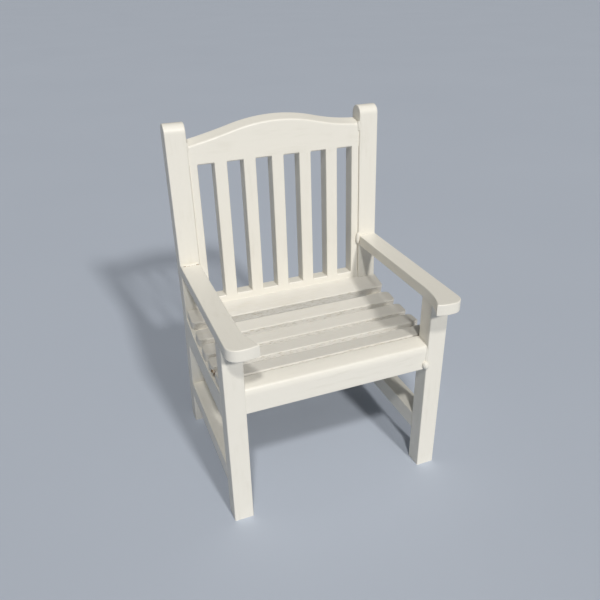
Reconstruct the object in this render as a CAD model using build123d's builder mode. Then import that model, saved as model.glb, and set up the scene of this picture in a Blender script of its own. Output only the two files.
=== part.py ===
"""Dolls-house garden armchair, 1:12 scale, painted wood. Millimetres.

+Z is up, the chair faces -Y, left and right are as seen from the front.
The origin is on the floor, at the centre of the chair's footprint box.
Every stick is a separate piece; the joints are glued butt joints, face to face.
"""

from math import atan2, cos, radians, sin, sqrt, tan
import os

from build123d import *

os.makedirs("parts", exist_ok=True)

# ---- driving dimensions (each y is measured back from the front face of the front legs) ----
overall_width = 52.0
foot_spread = 43.2  # front face of the front legs to the back of the rear feet
arm_reach = 5.6  # how far the arms stand out in front of the front legs

leg_width = 4.45
leg_depth = 4.25
post_width = 4.8
post_depth = 4.25
post_bend_y = 35.0
post_bend_z = 33.0
post_top_y = 36.9
post_height = 81.6

arm_top_z = 48.9
arm_thickness = 2.7
arm_width = 4.6
arm_nose_width = 6.55
arm_corner_reach = 4.95  # the nose is bowed, so its corners stand a little behind its middle
arm_flare_y = 3.0  # where the inner edge starts to sweep inwards
arm_corner_radius = 2.6

panel_setback = 0.4  # back panel behind the faces of the posts
panel_thickness = 3.5
slot_count = 6
slot_width = 3.93
slot_top_z = 72.1
slot_bottom_z = 38.8
stile_width = 1.95
lower_rail_bottom_z = 34.3
# hand-shaped camel back: points (x, z) on the crest, left to right
crest_line = [(-21.2, 77.4), (-10.4, 79.95), (0, 81.4), (10.4, 80.1), (21.2, 78.55)]
crest_slope_depth = 3.05  # its top is sanded to slope down to the front
crest_slope_height = 1.0
crest_front_round = 0.5
crest_back_round = 0.4

# the dished seat: where the top of each slat starts (y, z) and its tilt in degrees, front to back
slat_tops = [(5.6, 35.4, -6.3), (11.7, 34.8, -2.5), (17.4, 34.55, 2), (23.4, 34.85, 6.2), (30, 35.8, 12.6)]
slat_width = 4.4
slat_thickness = 2.2
slat_corner = 1.15
slat_arris = 0.3
slat_left_inset = 0.35  # the slats stop short of the outer face of the left side rail
slat_right_overhang = 0.3  # and stand out a little past the right one
slat_post_clearance = 0.05

front_rail_setback = 0.25
front_rail_bottom_z = 29.1
# its rounded nose: points (back from its face, z), from the top of the face to the rear edge
nose_line = [(0, 33.7), (0.22, 34.85), (0.7, 35.28), (4.0, 35.8)]

side_rail_bottom_z = 26.6
rear_rail_y = 35.9
rear_rail_depth = 3.0
rear_rail_top_z = 33.2
rear_rail_bottom_z = 27.6
stretcher_top_z = 13.6
stretcher_bottom_z = 9.15

eased = 0.25  # arrises rubbed down before painting

# ---- places worked out from them ----
half_width = overall_width / 2
front_y = -(foot_spread - arm_reach) / 2
post_foot_y = foot_spread - post_depth
leg_inner_x = half_width - leg_width
post_inner_x = half_width - post_width
panel_width = 2 * post_inner_x
slat_length = overall_width - slat_left_inset + slat_right_overhang
back_slat_width = (panel_width - 2 * stile_width - slot_count * slot_width) / (slot_count - 1)
rake = atan2(post_top_y - post_bend_y, post_height - post_bend_z)
up_the_back = (0, sin(rake), cos(rake))
sides = (("left", -1), ("right", 1))

# front faces of the raked posts, and of the back panel behind them
post_plane = Plane(
    origin=(0, front_y + post_bend_y, post_bend_z),
    x_dir=(1, 0, 0),
    z_dir=(0, -cos(rake), sin(rake)),
)
panel_plane = post_plane.offset(-panel_setback)


def up_panel(z):
    """Distance up the raked back panel for a height z."""
    return (z - post_bend_z) / cos(rake)


def post_face_y(z):
    """World y of the front face of the rear posts at height z."""
    if z < post_bend_z:
        return front_y + post_foot_y + (post_bend_y - post_foot_y) * z / post_bend_z
    return front_y + post_bend_y + (z - post_bend_z) * tan(rake)


def finish(piece, name):
    """Label a finished piece and write its STEP file."""
    piece.part.label = name
    export_step(piece.part, f"parts/{name}.step")


# ---- rear posts: rear leg and back upright in one bent stick, rounded over at the top ----
def make_rear_post(name, side):
    foot_y = front_y + post_foot_y
    bend_y = front_y + post_bend_y
    top_y = front_y + post_top_y
    with BuildPart() as post:
        with BuildSketch(Plane.YZ.offset(side * post_inner_x)) as profile:
            with BuildLine():
                Polyline(
                    (foot_y, 0),
                    (foot_y + post_depth, 0),
                    (bend_y + post_depth, post_bend_z),
                    (top_y + post_depth, post_height),
                    (top_y, post_height),
                    (bend_y, post_bend_z),
                    close=True,
                )
            make_face()
            fillet(profile.vertices().group_by(Axis.Y)[-1], post_depth * 0.48)
        extrude(amount=side * post_width)
        foot_edges = post.faces().sort_by(Axis.Z)[0].edges()
        fillet(post.faces().filter_by(Axis.X).edges() - foot_edges, eased)
    finish(post, name)


# ---- front legs: straight sticks up to the underside of the arms ----
def make_front_leg(name, side):
    with BuildPart() as leg:
        with BuildSketch(Plane.XY):
            with Locations((side * (half_width - leg_width / 2), front_y + leg_depth / 2)):
                RectangleRounded(leg_width, leg_depth, eased)
        extrude(amount=arm_top_z - arm_thickness)
    finish(leg, name)


# ---- arms: flat boards whose inner edge sweeps inwards to a wide nose ----
def make_arm(name, side):
    outer_x = side * half_width
    inner_x = side * (half_width - arm_width)
    nose_x = side * (half_width - arm_nose_width)
    nose_y = front_y - arm_reach
    corner_y = front_y - arm_corner_reach
    flare_y = front_y + arm_flare_y
    rear_y = post_face_y(arm_top_z) + 1
    with BuildPart() as arm:
        with BuildSketch(Plane.XY.offset(arm_top_z - arm_thickness)) as outline:
            with BuildLine():
                Line((inner_x, rear_y), (inner_x, flare_y))
                TangentArc((inner_x, flare_y), (nose_x, corner_y), tangent=(0, -1))
                ThreePointArc(
                    (nose_x, corner_y),
                    ((nose_x + outer_x) / 2, nose_y),
                    (outer_x, corner_y),
                )
                Polyline((outer_x, corner_y), (outer_x, rear_y), (inner_x, rear_y))
            make_face()
            outer_corner = outline.vertices().sort_by_distance((outer_x, corner_y))[0]
            fillet(outer_corner, arm_corner_radius)
        extrude(amount=arm_thickness)
        split(bisect_by=post_plane, keep=Keep.TOP)
        rear_edges = arm.faces().sort_by(Axis.Y)[-1].edges()
        fillet(arm.faces().filter_by(Axis.Z).edges() - rear_edges, eased)
    finish(arm, name)


# ---- back panel: crest rail, lower rail, two stiles and five slats, all flush ----
def slot_x(index):
    """Centre of one slot of the back, counted from the left."""
    first = -post_inner_x + stile_width + slot_width / 2
    return first + index * (slot_width + back_slat_width)


def slot_arrises(rail_z):
    """Places of a rail's front and back arrises in the slots, for easing them there."""
    return [
        panel_plane.location * Location((slot_x(index), up_panel(rail_z), -depth), (45, 0, 0))
        for index in range(slot_count)
        for depth in (0, panel_thickness)
    ]


def make_crest_rail():
    with BuildPart() as crest:
        with BuildSketch(panel_plane):
            with BuildLine():
                left_end, left_hip, top, right_hip, right_end = (
                    (x, up_panel(z)) for x, z in crest_line
                )
                hump = ThreePointArc(left_hip, top, right_hip)
                TangentArc(left_hip, left_end, tangent=hump % 0 * -1)
                TangentArc(right_hip, right_end, tangent=hump % 1)
                Polyline(
                    right_end,
                    (post_inner_x, up_panel(slot_top_z)),
                    (-post_inner_x, up_panel(slot_top_z)),
                    left_end,
                )
            make_face()
        extrude(amount=-panel_thickness)
        front = crest.faces().filter_by(Axis.Y, tolerance=5).sort_by(Axis.Y)[0]
        front_top = front.edges().filter_by(GeomType.CIRCLE)
        chamfer(front_top, crest_slope_height, crest_slope_depth, reference=front)
        front, *_, back = crest.faces().filter_by(Axis.Y, tolerance=5).sort_by(Axis.Y)
        fillet(front.edges().filter_by(GeomType.CIRCLE), crest_front_round)
        fillet(back.edges().filter_by(GeomType.CIRCLE), crest_back_round)
        with Locations(*slot_arrises(slot_top_z)):
            Box(slot_width, eased * sqrt(2), eased * sqrt(2), mode=Mode.SUBTRACT)
    finish(crest, "crest_rail")


def make_lower_back_rail():
    height = up_panel(slot_bottom_z) - up_panel(lower_rail_bottom_z)
    with BuildPart() as rail:
        with BuildSketch(panel_plane):
            with Locations((0, up_panel(slot_bottom_z))):
                Rectangle(panel_width, height, align=(Align.CENTER, Align.MAX))
        extrude(amount=-panel_thickness)
        with Locations(*slot_arrises(slot_bottom_z)):
            Box(slot_width, eased * sqrt(2), eased * sqrt(2), mode=Mode.SUBTRACT)
    finish(rail, "lower_back_rail")


def make_back_upright(name, centre_x, width):
    """A stile or slat of the back, standing between the lower rail and the crest rail."""
    foot = panel_plane.from_local_coords((centre_x, up_panel(slot_bottom_z), 0))
    section = Plane(origin=foot, x_dir=(1, 0, 0), z_dir=up_the_back)
    with BuildPart() as upright:
        with BuildSketch(section):
            RectangleRounded(width, panel_thickness, eased, align=(Align.CENTER, Align.MIN))
        extrude(amount=up_panel(slot_top_z) - up_panel(slot_bottom_z))
    finish(upright, name)


# ---- seat: five slats in a shallow dish, lying on the side rails ----
def slat_point(index, along, depth=0):
    """Point (y, z) on a seat slat: so far back along its top, so deep below it."""
    y, z, tilt = slat_tops[index]
    lean = radians(tilt)
    return (
        front_y + y + along * cos(lean) + depth * sin(lean),
        z + along * sin(lean) - depth * cos(lean),
    )


def slat_board(index, width):
    """A board with rounded corners and eased upper arrises, lying where a seat slat lies."""
    lean = radians(slat_tops[index][2])
    front_middle = ((slat_left_inset + slat_right_overhang) / 2, *slat_point(index, 0))
    top = Plane(origin=front_middle, x_dir=(1, 0, 0), z_dir=(0, -sin(lean), cos(lean)))
    with BuildPart() as board:
        with BuildSketch(top):
            RectangleRounded(slat_length, width, slat_corner, align=(Align.CENTER, Align.MIN))
        extrude(amount=-slat_thickness)
        fillet(board.faces().sort_by(Axis.Z)[-1].edges(), slat_arris)
    return board.part


def make_seat_slat(index):
    with BuildPart() as slat:
        add(slat_board(index, slat_width))
    finish(slat, f"seat_slat_{index + 1}")


def make_rear_seat_slat(index):
    """The last slat runs back to the lower back rail and is notched round the posts."""
    with BuildPart() as slat:
        add(slat_board(index, slat_width + post_depth))
        split(bisect_by=panel_plane, keep=Keep.TOP)
        notch_x = post_inner_x - slat_post_clearance + post_width
        notch_depth = slat_post_clearance - post_depth
        notch_up = up_panel(slat_tops[index][1])
        with Locations(
            post_plane.location * Location((-notch_x, notch_up, notch_depth)),
            post_plane.location * Location((notch_x, notch_up, notch_depth)),
        ):
            Box(post_width * 2, slat_thickness * 4, post_depth * 2, mode=Mode.SUBTRACT)
    finish(slat, f"seat_slat_{index + 1}")


# ---- seat rails: a bullnosed one between the front legs, a plain one between the rear posts ----
def make_front_seat_rail():
    nose = [(front_y + front_rail_setback + back, z) for back, z in nose_line]
    (face_y, shoulder_z), *_, (back_y, back_z) = nose
    with BuildPart() as rail:
        with BuildSketch(Plane.YZ) as profile:
            with BuildLine():
                heading = (0, 1)
                for start, end in zip(nose, nose[1:]):
                    heading = TangentArc(start, end, tangent=heading) % 1
                Polyline(
                    (face_y, shoulder_z),
                    (face_y, front_rail_bottom_z),
                    (back_y, front_rail_bottom_z),
                    (back_y, back_z),
                )
            make_face()
            fillet(profile.vertices().group_by(Axis.Y)[0], eased)
        extrude(amount=leg_inner_x, both=True)
    finish(rail, "front_seat_rail")


def make_rear_seat_rail():
    with BuildPart() as rail:
        with BuildSketch(Plane.XY.offset(rear_rail_bottom_z)):
            with Locations((0, front_y + rear_rail_y)):
                Rectangle(panel_width, rear_rail_depth, align=(Align.CENTER, Align.MIN))
        extrude(amount=rear_rail_top_z - rear_rail_bottom_z)
        fillet(rail.edges().filter_by(Axis.X), eased)
    finish(rail, "rear_seat_rail")


# ---- side rails: their top edges are cut to the undersides of the slats ----
def rear_bearing(index):
    """Where the underside of the rear slat meets the face of the post, in (y, z)."""
    y, z = slat_point(index, 0, slat_thickness)
    slope = tan(radians(slat_tops[index][2]))
    lean = tan(rake)
    bearing_y = (post_face_y(post_bend_z) + (z - y * slope - post_bend_z) * lean) / (1 - slope * lean)
    return bearing_y, z + (bearing_y - y) * slope


def make_side_rail(name, side):
    leg_back_y = front_y + leg_depth
    last = len(slat_tops) - 1
    bearings = [
        slat_point(index, along, slat_thickness)
        for index in range(last)
        for along in (0, slat_width)
    ]
    bearings += [slat_point(last, 0, slat_thickness), rear_bearing(last)]
    with BuildPart() as rail:
        with BuildSketch(Plane.YZ.offset(side * leg_inner_x)):
            with BuildLine():
                Polyline(
                    (leg_back_y, side_rail_bottom_z),
                    (leg_back_y, bearings[0][1]),
                    *bearings,
                    (post_face_y(post_bend_z), post_bend_z),
                    (post_face_y(side_rail_bottom_z), side_rail_bottom_z),
                    close=True,
                )
            make_face()
        extrude(amount=side * leg_width)
        fillet(rail.edges().filter_by(Axis.Y).group_by(Axis.Z)[0], eased)
    finish(rail, name)


# ---- lower stretchers: front leg to rear leg on each side ----
def make_lower_stretcher(name, side):
    leg_back_y = front_y + leg_depth
    with BuildPart() as stretcher:
        with BuildSketch(Plane.YZ.offset(side * leg_inner_x)):
            with BuildLine():
                Polyline(
                    (leg_back_y, stretcher_bottom_z),
                    (leg_back_y, stretcher_top_z),
                    (post_face_y(stretcher_top_z), stretcher_top_z),
                    (post_face_y(stretcher_bottom_z), stretcher_bottom_z),
                    close=True,
                )
            make_face()
        extrude(amount=side * leg_width)
        fillet(stretcher.edges().filter_by(Axis.Y), eased)
    finish(stretcher, name)


if __name__ == "__main__":
    for side_name, side in sides:
        make_rear_post(f"{side_name}_rear_post", side)
        make_front_leg(f"{side_name}_front_leg", side)
        make_arm(f"{side_name}_arm", side)
        make_side_rail(f"{side_name}_side_rail", side)
        make_lower_stretcher(f"{side_name}_lower_stretcher", side)
        stile_x = side * (post_inner_x - stile_width / 2)
        make_back_upright(f"{side_name}_back_stile", stile_x, stile_width)
    make_crest_rail()
    make_lower_back_rail()
    for gap in range(slot_count - 1):
        slat_x = (slot_x(gap) + slot_x(gap + 1)) / 2
        make_back_upright(f"back_slat_{gap + 1}", slat_x, back_slat_width)
    make_front_seat_rail()
    make_rear_seat_rail()
    rear_slat = len(slat_tops) - 1
    for slat_index in range(rear_slat):
        make_seat_slat(slat_index)
    make_rear_seat_slat(rear_slat)
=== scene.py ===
"""Looks of the white-painted dolls-house garden armchair, on a pale studio floor."""

import math
import random

import bpy
from mathutils import Matrix, Vector


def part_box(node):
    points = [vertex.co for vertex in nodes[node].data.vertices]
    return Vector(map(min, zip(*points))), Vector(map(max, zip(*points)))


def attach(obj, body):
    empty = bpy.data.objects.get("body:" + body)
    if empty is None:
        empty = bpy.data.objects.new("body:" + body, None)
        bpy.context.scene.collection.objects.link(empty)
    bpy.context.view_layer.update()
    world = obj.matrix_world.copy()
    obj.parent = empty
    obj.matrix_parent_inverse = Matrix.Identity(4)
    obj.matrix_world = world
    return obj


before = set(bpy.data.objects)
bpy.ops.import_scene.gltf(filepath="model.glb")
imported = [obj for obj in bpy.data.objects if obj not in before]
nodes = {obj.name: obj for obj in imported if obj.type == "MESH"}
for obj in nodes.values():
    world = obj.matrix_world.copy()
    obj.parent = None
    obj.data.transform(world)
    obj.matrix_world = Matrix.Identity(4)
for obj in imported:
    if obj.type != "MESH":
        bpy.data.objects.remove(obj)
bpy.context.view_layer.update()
MM = 0.001


# ---- node helpers ----
def new_material(name):
    material = bpy.data.materials.new(name)
    material.use_nodes = True
    tree = material.node_tree
    return material, tree, tree.nodes["Principled BSDF"]


def add_node(tree, kind, values=None, **settings):
    """A shader node with its properties set, and its input sockets filled or linked."""
    node = tree.nodes.new(kind)
    for key, value in settings.items():
        setattr(node, key, value)
    for key, value in (values or {}).items():
        if isinstance(value, bpy.types.NodeSocket):
            tree.links.new(value, node.inputs[key])
        else:
            node.inputs[key].default_value = value
    return node


def noise(tree, coords, scale, detail=3.0, roughness=0.5):
    values = {"Vector": coords, "Scale": scale, "Detail": detail, "Roughness": roughness}
    return add_node(tree, "ShaderNodeTexNoise", values).outputs["Fac"]


def math_node(tree, operation, a, b=0.5, c=0.5):
    node = add_node(tree, "ShaderNodeMath", {0: a, 1: b, 2: c}, operation=operation)
    return node.outputs[0]


def map_range(tree, value, low, high, to_low=0.0, to_high=1.0):
    values = {"Value": value, "From Min": low, "From Max": high, "To Min": to_low, "To Max": to_high}
    node = add_node(tree, "ShaderNodeMapRange", values, interpolation_type="SMOOTHSTEP")
    return node.outputs["Result"]


def mix_colour(tree, factor, a, b):
    node = tree.nodes.new("ShaderNodeMix")
    node.data_type = "RGBA"
    for socket, value in ((0, factor), (6, a), (7, b)):
        if isinstance(value, bpy.types.NodeSocket):
            tree.links.new(value, node.inputs[socket])
        else:
            node.inputs[socket].default_value = value
    return node.outputs[2]


# ---- white paint, brushed along the grain of each stick ----
# The seat's paint is a shade darker; SPECK shows in the pits of its rough edges, and the crevices get
# painted shade.
PAINT = (0.85, 0.82, 0.745, 1.0)
PAINT_THIN = (0.80, 0.77, 0.69, 1.0)
SEAT_PAINT = (0.745, 0.72, 0.665, 1.0)
SEAT_THIN = (0.70, 0.665, 0.59, 1.0)
SPECK = (0.50, 0.45, 0.36, 1.0)
# Colour of the painted shade in crevices.
CREVICE_SHADE = (0.42, 0.38, 0.30, 1.0)
WOOD_DARK = (0.10, 0.055, 0.03, 1.0)
WOOD_LIGHT = (0.45, 0.33, 0.21, 1.0)
FLOOR_DARK = (0.49, 0.54, 0.63, 1.0)
FLOOR_LIGHT = (0.52, 0.57, 0.66, 1.0)
BACKDROP = (0.36, 0.40, 0.46, 1.0)
FILL_TINT = (0.80, 0.90, 1.0, 1.0)

GRAIN_STRETCH = 14.0
BRUSH_STRETCH = 7.0
SPLINTER_STRETCH = 5.0
SAW_MARKS = 0.75
CREVICE_REACH = 1.2 * MM
BRUSH_MARK_DEPTH = 0.12 * MM


def along(axis, stretch):
    """Mapping scale that draws a pattern out along one axis."""
    scale = [1.0, 1.0, 1.0]
    scale["XYZ".index(axis)] = 1.0 / stretch
    return scale


def front_faces(tree):
    """1 on faces turned to the front of the chair, 0 on the others."""
    normal = tree.nodes.new("ShaderNodeTexCoord").outputs["Normal"]
    parts = add_node(tree, "ShaderNodeSeparateXYZ", {"Vector": normal})
    return map_range(tree, parts.outputs["Y"], -0.6, -0.9)


def paint(name, axis, full, worn, saw_marks):
    """Brushed paint; saw_marks is how far the rough front edges show through it."""
    material, tree, shader = new_material(name)
    coords = tree.nodes.new("ShaderNodeTexCoord").outputs["Object"]
    grain = add_node(tree, "ShaderNodeMapping", {"Vector": coords, "Scale": along(axis, GRAIN_STRETCH)})
    grain = grain.outputs["Vector"]
    brush = add_node(tree, "ShaderNodeMapping", {"Vector": coords, "Scale": along(axis, BRUSH_STRETCH)})
    brush = brush.outputs["Vector"]

    streaks = noise(tree, brush, 900.0, 4.0, 0.6)
    fibres = noise(tree, grain, 3600.0, 3.0, 0.55)
    patches = noise(tree, coords, 130.0, 2.0, 0.5)
    peel = noise(tree, coords, 2300.0, 2.0, 0.5)

    thin_streaks = map_range(tree, streaks, 0.45, 0.75)
    thin_patches = map_range(tree, patches, 0.35, 0.7)
    thin = math_node(tree, "MULTIPLY", thin_streaks, thin_patches)
    colour = mix_colour(tree, thin, full, worn)
    pits = map_range(tree, noise(tree, brush, 5200.0, 3.0, 0.6), 0.5, 0.68, 0.0, saw_marks)
    rough_edge = math_node(tree, "MULTIPLY", pits, front_faces(tree))
    colour = mix_colour(tree, rough_edge, colour, SPECK)
    # Painted shade: the colour darkens in crevices, found by ambient occlusion.
    occlusion = add_node(tree, "ShaderNodeAmbientOcclusion", {"Distance": CREVICE_REACH}, samples=8)
    crevice = map_range(tree, occlusion.outputs["AO"], 0.0, 0.55, 0.45, 0.0)
    colour = mix_colour(tree, crevice, colour, CREVICE_SHADE)
    tree.links.new(colour, shader.inputs["Base Color"])

    rough = map_range(tree, streaks, 0.3, 0.7, 0.36, 0.5)
    tree.links.new(rough, shader.inputs["Roughness"])
    shader.inputs["Specular IOR Level"].default_value = 0.4
    shader.inputs["Coat Weight"].default_value = 0.1
    shader.inputs["Coat Roughness"].default_value = 0.3

    relief = math_node(tree, "MULTIPLY_ADD", streaks, 0.5, math_node(tree, "MULTIPLY", fibres, 0.25))
    relief = math_node(tree, "MULTIPLY_ADD", peel, 0.25, relief)
    relief = math_node(tree, "MULTIPLY_ADD", rough_edge, -1.2, relief)
    values = {"Height": relief, "Strength": 0.35, "Distance": BRUSH_MARK_DEPTH}
    bump = add_node(tree, "ShaderNodeBump", values)
    tree.links.new(bump.outputs["Normal"], shader.inputs["Normal"])
    return material


lengthwise = {
    "X": paint("paint_brushed_across", "X", PAINT, PAINT_THIN, 0.0),
    "Y": paint("paint_brushed_back", "Y", PAINT, PAINT_THIN, 0.0),
    "Z": paint("paint_brushed_up", "Z", PAINT, PAINT_THIN, 0.0),
}
seat_paint = paint("paint_on_seat", "X", SEAT_PAINT, SEAT_THIN, SAW_MARKS)
for name, node in nodes.items():
    low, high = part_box(name)
    size = high - low
    axis = "XYZ"[max(range(3), key=lambda i: size[i])]
    node.data.materials.clear()
    node.data.materials.append(seat_paint if name.startswith("seat_slat") else lengthwise[axis])


# ---- runs of dried paint at the joints, and bare wood where the paint has come off ----
def bare_wood():
    """Splintered wood with flakes of paint left on it."""
    material, tree, shader = new_material("bare_wood")
    coords = tree.nodes.new("ShaderNodeTexCoord").outputs["Object"]
    grain = add_node(tree, "ShaderNodeMapping", {"Vector": coords, "Scale": along("Y", SPLINTER_STRETCH)})
    lines = noise(tree, grain.outputs["Vector"], 4200.0, 3.0, 0.6)
    wood = mix_colour(tree, map_range(tree, lines, 0.4, 0.6), WOOD_DARK, WOOD_LIGHT)
    flakes = map_range(tree, noise(tree, coords, 2600.0, 2.0, 0.5), 0.5, 0.56)
    colour = mix_colour(tree, flakes, wood, PAINT)
    tree.links.new(colour, shader.inputs["Base Color"])
    shader.inputs["Roughness"].default_value = 0.8
    return material


def lump(name, start, end, radius, seed, material):
    """A lumpy run from start to end, in millimetres, thinning to a point at both ends."""
    rng = random.Random(seed)
    start, end = Vector(start) * MM, Vector(end) * MM
    length = (end - start).normalized()
    side = length.orthogonal().normalized()
    other = length.cross(side)
    rings, sides = 13, 16
    verts = [start]
    for ring in range(1, rings):
        t = ring / rings
        swell = radius * MM * math.sqrt(1 - (2 * t - 1) ** 2)
        for step in range(sides):
            turn = 2 * math.pi * step / sides
            reach = swell * rng.uniform(0.86, 1.0)
            outward = side * math.cos(turn) + other * math.sin(turn)
            verts.append(start.lerp(end, t) + outward * reach)
    verts.append(end)
    last = len(verts) - 1
    faces = [(0, 1 + (step + 1) % sides, 1 + step) for step in range(sides)]
    for ring in range(rings - 2):
        first = 1 + ring * sides
        for step in range(sides):
            after = (step + 1) % sides
            faces.append((first + step, first + after, first + sides + after, first + sides + step))
    first = last - sides
    faces += [(first + step, first + (step + 1) % sides, last) for step in range(sides)]
    mesh = bpy.data.meshes.new(name)
    mesh.from_pydata(verts, [], faces)
    mesh.polygons.foreach_set("use_smooth", [True] * len(mesh.polygons))
    mesh.materials.append(material)
    piece = bpy.data.objects.new(name, mesh)
    bpy.context.scene.collection.objects.link(piece)
    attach(piece, "root")


def in_mm(name):
    low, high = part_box(name)
    return low / MM, high / MM


BACK_LEAN = 0.039  # how far the back leans back for each unit of height
RUN_ABOVE_CREST_FOOT = 5
crest_low, crest_high = in_mm("crest_rail")
rail_front = in_mm("front_seat_rail")[0].y
arm_high = in_mm("right_arm")[1]
slat_front = in_mm("seat_slat_2")[0].y
touch_up = lengthwise["Z"]
splintered = bare_wood()

right_end = crest_high.x - 0.05
left_end = crest_low.x + 0.05
crest_front = crest_low.y + BACK_LEAN * RUN_ABOVE_CREST_FOOT
lump(
    "paint_run_crest_right",
    start=(right_end, crest_front + 0.1, 78.2),
    end=(right_end, crest_front, 75.6),
    radius=0.42,
    seed=1,
    material=touch_up,
)
lump(
    "paint_run_crest_left",
    start=(left_end, crest_front, 77.4),
    end=(left_end, crest_front, 75.2),
    radius=0.3,
    seed=2,
    material=touch_up,
)
arm_back = arm_high.y - 0.45
lump(
    "paint_run_right_arm",
    start=(20.9, arm_back + 0.4, arm_high.z - 2.3),
    end=(21.1, arm_back + 0.45, arm_high.z + 0.9),
    radius=0.62,
    seed=3,
    material=touch_up,
)
left_arm_back = arm_high.y - 0.75
lump(
    "paint_run_left_arm",
    start=(-25.6, left_arm_back, arm_high.z + 0.1),
    end=(-21.4, left_arm_back, arm_high.z + 0.1),
    radius=0.24,
    seed=4,
    material=touch_up,
)
# Four small dark lumps of the splintered-wood material along the left arm's seam with the post.
spot_y = left_arm_back - 0.2
for spot, x in enumerate((-24.9, -24.1, -23.0, -21.9)):
    lump(
        f"dark_seam_spot_left_arm_{spot + 1}",
        start=(x - 0.4, spot_y, arm_high.z),
        end=(x + 0.3, spot_y, arm_high.z),
        radius=0.13,
        seed=20 + spot,
        material=splintered,
    )
lump(
    "paint_run_rail_right",
    start=(20.9, rail_front - 0.15, 31.3),
    end=(21.8, rail_front - 0.2, 29.3),
    radius=0.85,
    seed=5,
    material=touch_up,
)
lump(
    "paint_run_rail_right_seam",
    start=(21.5, rail_front + 0.2, 35.1),
    end=(21.5, rail_front + 0.05, 30.6),
    radius=0.34,
    seed=6,
    material=touch_up,
)
lump(
    "paint_run_rail_left",
    start=(-21.45, rail_front + 0.25, 34.4),
    end=(-21.45, rail_front + 0.2, 32.2),
    radius=0.32,
    seed=7,
    material=touch_up,
)
lump(
    "bare_wood_splinter",
    start=(-25.3, slat_front - 1.0, 33.2),
    end=(-25.3, slat_front + 1.9, 33.9),
    radius=0.5,
    seed=8,
    material=splintered,
)


# ---- floor, light and camera ----
def make_floor():
    material, tree, shader = new_material("pale_floor")
    coords = tree.nodes.new("ShaderNodeTexCoord").outputs["Object"]
    cloud = noise(tree, coords, 9.0, 3.0, 0.5)
    colour = mix_colour(tree, cloud, FLOOR_DARK, FLOOR_LIGHT)
    tree.links.new(colour, shader.inputs["Base Color"])
    shader.inputs["Roughness"].default_value = 0.8
    mesh = bpy.data.meshes.new("floor")
    reach = 6.0
    corners = [(-reach, -reach, 0), (reach, -reach, 0), (reach, reach, 0), (-reach, reach, 0)]
    mesh.from_pydata(corners, [], [(0, 1, 2, 3)])
    mesh.materials.append(material)
    floor = bpy.data.objects.new("floor", mesh)
    bpy.context.scene.collection.objects.link(floor)


def make_sun(name, azimuth, elevation, strength, spread, colour):
    """A distant light; azimuth 0 is in front of the chair, positive to its right."""
    data = bpy.data.lights.new(name, "SUN")
    data.energy = strength
    data.angle = math.radians(spread)
    data.color = colour
    sun = bpy.data.objects.new(name, data)
    a, e = math.radians(azimuth), math.radians(elevation)
    towards = Vector((math.sin(a) * math.cos(e), -math.cos(a) * math.cos(e), math.sin(e)))
    sun.rotation_mode = "QUATERNION"
    sun.rotation_quaternion = towards.to_track_quat("Z", "Y")
    bpy.context.scene.collection.objects.link(sun)


def make_world():
    """Weak cool fill light; the camera sees a pale backdrop close to the floor's colour."""
    world = bpy.data.worlds.new("studio")
    world.use_nodes = True
    tree = world.node_tree
    fill = tree.nodes["Background"]
    fill.inputs["Color"].default_value = FILL_TINT
    fill.inputs["Strength"].default_value = 0.03
    backdrop = add_node(tree, "ShaderNodeBackground", {"Color": BACKDROP})
    seen = tree.nodes.new("ShaderNodeLightPath").outputs["Is Camera Ray"]
    mix = tree.nodes.new("ShaderNodeMixShader")
    tree.links.new(seen, mix.inputs[0])
    tree.links.new(fill.outputs[0], mix.inputs[1])
    tree.links.new(backdrop.outputs[0], mix.inputs[2])
    tree.links.new(mix.outputs[0], tree.nodes["World Output"].inputs["Surface"])
    bpy.context.scene.world = world


def make_camera():
    data = bpy.data.cameras.new("camera")
    data.lens = 37.6
    data.sensor_width = 36.0
    data.clip_start = 0.005
    camera = bpy.data.objects.new("camera", data)
    camera.location = (-0.04816, -0.11974, 0.11202)
    yaw, pitch, roll = math.radians(21.07), math.radians(28.29), math.radians(1.0)
    forward = Vector(
        (math.sin(yaw) * math.cos(pitch), math.cos(yaw) * math.cos(pitch), -math.sin(pitch))
    )
    level = Vector((math.cos(yaw), -math.sin(yaw), 0))
    down = forward.cross(level)
    across = level * math.cos(roll) + down * math.sin(roll)
    down = down * math.cos(roll) - level * math.sin(roll)
    rotation = Matrix((across, -down, -forward)).transposed()
    camera.rotation_mode = "QUATERNION"
    camera.rotation_quaternion = rotation.to_quaternion()
    bpy.context.scene.collection.objects.link(camera)
    bpy.context.scene.camera = camera


make_floor()
make_sun("key", azimuth=7.5, elevation=34, strength=1.70, spread=5, colour=(1.0, 0.98, 0.94))
make_sun("second", azimuth=-18, elevation=53, strength=1.3, spread=5, colour=(1.0, 0.985, 0.95))
make_sun("overhead", azimuth=40, elevation=74, strength=0.30, spread=60, colour=(0.98, 0.99, 1.0))
make_world()
make_camera()
bpy.context.scene.view_settings.view_transform = "Standard"

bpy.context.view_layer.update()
